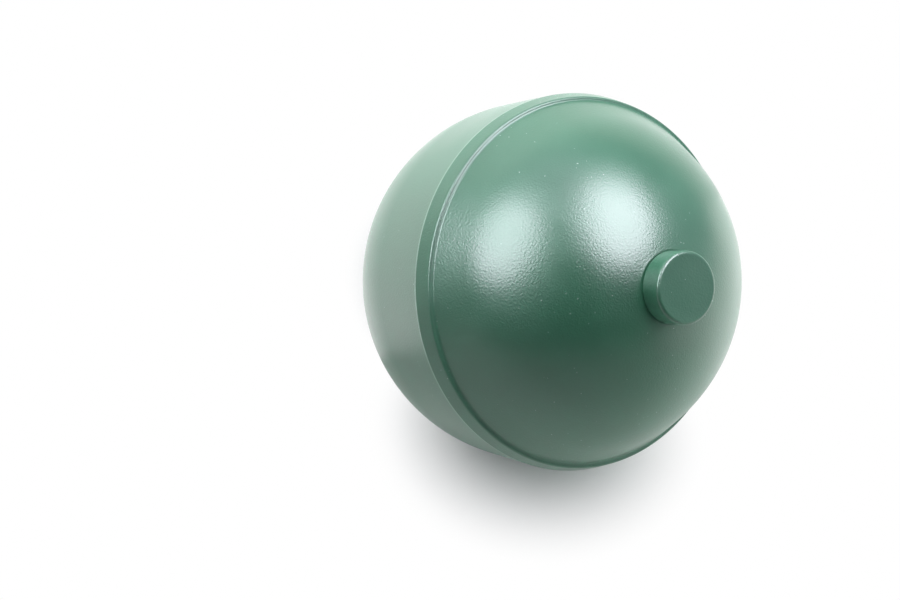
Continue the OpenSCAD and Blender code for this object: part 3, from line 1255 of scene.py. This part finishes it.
@dataclass(frozen=True)
class Paper:
    """White paper, seen from its front only, that keeps the object's shadow near one spot and glows in gloss
    as a painted reflection.

    Attributes:
        name: The material's name.
        spot: The place about which the shadow is kept.
        fade: Distances from the spot between which the shadow fades out.
        shadow: Share of real light and shade in the white close to the spot.
        painted_reflections: Painted reflection: how brightly gloss shows the paper, the product of these.
        tone: Lightness of the paper under real light.
    """

    name: str
    spot: Vector
    fade: tuple[float, float]
    shadow: float
    painted_reflections: tuple[PaintedReflection, ...]
    tone: float = 0.9

    def material(self) -> bpy.types.Material:
        """Makes the paper, shaded white near the spot and plain white away from it, and glowing in gloss as
        a painted reflection.

        Returns:
            The material.
        """
        made = bpy.data.materials.new(self.name)
        made.use_nodes = True
        tree = made.node_tree
        tree.nodes.clear()
        graph = Graph(tree)
        path = graph.place("LightPath").outputs
        mirrored = graph.maths("MAXIMUM", path["Is Glossy Ray"], path["Is Transmission Ray"])
        seen = graph.maths("MAXIMUM", path["Is Camera Ray"], mirrored)
        place = graph.place("TexCoord").outputs["Object"]
        offset = graph.vector("SUBTRACT", place, self.spot)["Vector"]
        away = graph.vector("LENGTH", offset)["Value"]
        # Painted reflection: gloss sees the paper glow at these strengths instead of at its real brightness.
        strength: Any = 1.0
        for painted_reflection in self.painted_reflections:
            along = graph.vector("DOT_PRODUCT", offset, painted_reflection.run)["Value"]
            strength = graph.maths("MULTIPLY", strength, graph.ramp(along, *painted_reflection.ends, *painted_reflection.levels))
        strength = graph.blend(mirrored, 1.0, strength)
        matt = graph.place("BsdfDiffuse", {"Color": (self.tone, self.tone, self.tone, 1.0)}).outputs[0]
        white = graph.place("Emission", {"Color": (1.0, 1.0, 1.0, 1.0), "Strength": strength}).outputs[0]
        share = graph.maths("MULTIPLY", seen, graph.ramp(away, *self.fade, 1 - self.shadow, 1.0))
        front = graph.place("MixShader", {0: share, 1: matt, 2: white}).outputs[0]
        clear = graph.place("BsdfTransparent").outputs[0]
        back = graph.place("NewGeometry").outputs["Backfacing"]
        shown = graph.place("MixShader", {0: back, 1: front, 2: clear}).outputs[0]
        graph.place("OutputMaterial", {"Surface": shown})
        return made


@dataclass(frozen=True)
class Studio:
    """White floor under the neck, a white slope under the bowl's side, soft boxes and a pale room.

    Azimuths of the lamps count from the one that the slope faces.

    Attributes:
        lamps: The soft boxes.
        room: Brightness of the room away from its dark side, and there.
        room_colour: Colour of the room's light.
        dark_side: Azimuth and elevation of the middle of the dark side, in degrees.
        dusk: Cosines of the angle from that middle at which the room starts and ends to darken.
        slope_azimuth: Where the slope faces, in degrees.
        slope_tilt: Angle of the slope's normal from +Z, in degrees.
        reach: Half the width of floor and slope.
        clear: Gap between the part and the papers.
        floor_fade: Distances from the axis between which the floor's shadow fades out.
        floor_shadow: Share of real light and shade in the floor's white at the axis.
        shade_at: Middle of the slope's shadow, across and uphill from where the bowl touches it.
        slope_fade: Distances from that middle between which the slope's shadow fades out.
        slope_shadow: Share of real light and shade in the slope's white at that middle.
        far_azimuth: Way along which the floor's painted reflection changes, in degrees.
    """

    lamps: tuple[Lamp, ...] = (
        Lamp("left_box", 41.5, 24.1, 0.195, 4.9, Glow.GLOSS, stretch=1.38),
        Lamp("right_box", -34.4, 55.1, 0.272, 6.3, Glow.GLOSS, stretch=0.79),
        Lamp("key", -6.0, 20.3, 0.2, 4.7, Glow.MATT, colour=(0.97, 1.0, 1.06)),
        Lamp("side", 244.0, 25.0, 0.3, 2.7, Glow.MATT, colour=(1.0, 1.0, 1.0)),
    )
    room: tuple[float, float] = (0.5, 0.02)
    room_colour: Colour = (0.86, 0.95, 1.12)
    dark_side: tuple[float, float] = (130.0, 45.0)
    dusk: tuple[float, float] = (0.0, 0.65)
    slope_azimuth: float = 8.0
    slope_tilt: float = 53.0
    reach: float = 4.0
    clear: float = 0.1 * MM
    floor_fade: tuple[float, float] = (18 * MM, 36 * MM)
    floor_shadow: float = 0.7
    shade_at: tuple[float, float] = (3.3 * MM, 9.1 * MM)
    slope_fade: tuple[float, float] = (13.5 * MM, 56 * MM)
    slope_shadow: float = 0.95
    far_azimuth: float = 105.0

    def sheet(self, name: str, centre: Vector, normal: Vector, paper: bpy.types.Material) -> None:
        """Lays a square sheet of paper that throws no shadow.

        Args:
            name: The sheet's name.
            centre: Its middle.
            normal: The way it faces.
            paper: Its material.
        """
        across = normal.orthogonal().normalized()
        along = normal.cross(across)
        signs = ((-1, -1), (1, -1), (1, 1), (-1, 1))
        corners = [centre + (across * u + along * v) * self.reach for u, v in signs]
        mesh = bpy.data.meshes.new(name)
        mesh.from_pydata(corners, [], [(0, 1, 2, 3)])
        mesh.materials.append(paper)
        made = linked(name, mesh)
        made.visible_shadow = False

    def world(self) -> None:
        """Room that darkens to one side and that the camera sees as white."""
        made = bpy.data.worlds.new("studio")
        made.use_nodes = True
        made.node_tree.nodes.clear()
        graph = Graph(made.node_tree)
        seen = graph.place("LightPath").outputs["Is Camera Ray"]
        way = graph.place("TexCoord").outputs["Generated"]
        dark = direction(*self.dark_side)
        toward = graph.vector("DOT_PRODUCT", way, dark)["Value"]
        strength = graph.blend(seen, graph.ramp(toward, *self.dusk, *self.room), 1.0)
        colour = graph.tint(seen, self.room_colour, (1.0, 1.0, 1.0))
        sky = graph.place("Background", {"Color": colour, "Strength": strength}).outputs[0]
        graph.place("OutputWorld", {"Surface": sky})
        bpy.context.scene.world = made

    def build(self, domes: Domes) -> None:
        """Lays the floor and the slope, and lights them.

        Args:
            domes: Sizes of the shells, for where the bowl touches the slope.
        """
        bowl = Vector((0, 0, domes.lower_z))
        up = Vector((0, 0, 1))
        lean = direction(self.slope_azimuth, 90 - self.slope_tilt)
        downhill = direction(self.slope_azimuth, -self.slope_tilt)
        across = up.cross(lean).normalized()
        touch = bowl - lean * (domes.outer + self.clear)
        spot = touch + across * self.shade_at[0] - downhill * self.shade_at[1]
        far = direction(self.far_azimuth, 0.0)
        back = direction(self.slope_azimuth + 180, 0.0)
        slant = downhill * 0.3 - across * 0.95
        # Painted reflection: how brightly floor and slope glow in the part's gloss, brighter or darker along
        # these ways.
        floor_painted_reflections = (
            PaintedReflection(levels=(1.6, 0.4), run=far, ends=(80 * MM, 230 * MM)),
            PaintedReflection(levels=(0.68, 1.0), run=far, ends=(-600 * MM, -100 * MM)),
            PaintedReflection(levels=(1.0, 0.5), run=back, ends=(-10 * MM, 45 * MM)),
        )
        slope_painted_reflections = (
            PaintedReflection(levels=(0.6, 1.9), run=slant, ends=(-46 * MM, 154 * MM)),
            PaintedReflection(levels=(0.65, 1.0), run=downhill, ends=(-202 * MM, -82 * MM)),
        )
        floor = Paper("floor_paper", Vector((0, 0, 0)), self.floor_fade, self.floor_shadow, floor_painted_reflections)
        slope = Paper("slope_paper", spot, self.slope_fade, self.slope_shadow, slope_painted_reflections)
        self.sheet("floor", -up * self.clear, up, floor.material())
        self.sheet("slope", touch, lean, slope.material())
        for lamp in self.lamps:
            lamp.build(bowl, self.slope_azimuth)
        self.world()
        bpy.context.scene.view_settings.view_transform = "Standard"


def main() -> None:
    """Builds the pieces, dresses them and sets up the studio."""
    logging.basicConfig(level=logging.INFO, format="%(message)s")
    domes = Domes()
    LowerShell(domes).build()
    UpperShell(domes).build()
    Diaphragm(domes).build()
    Valve().dress()
    Camera().build(Vector((0, 0, domes.lower_z)))
    Studio().build(domes)


if __name__ == "__main__":
    main()
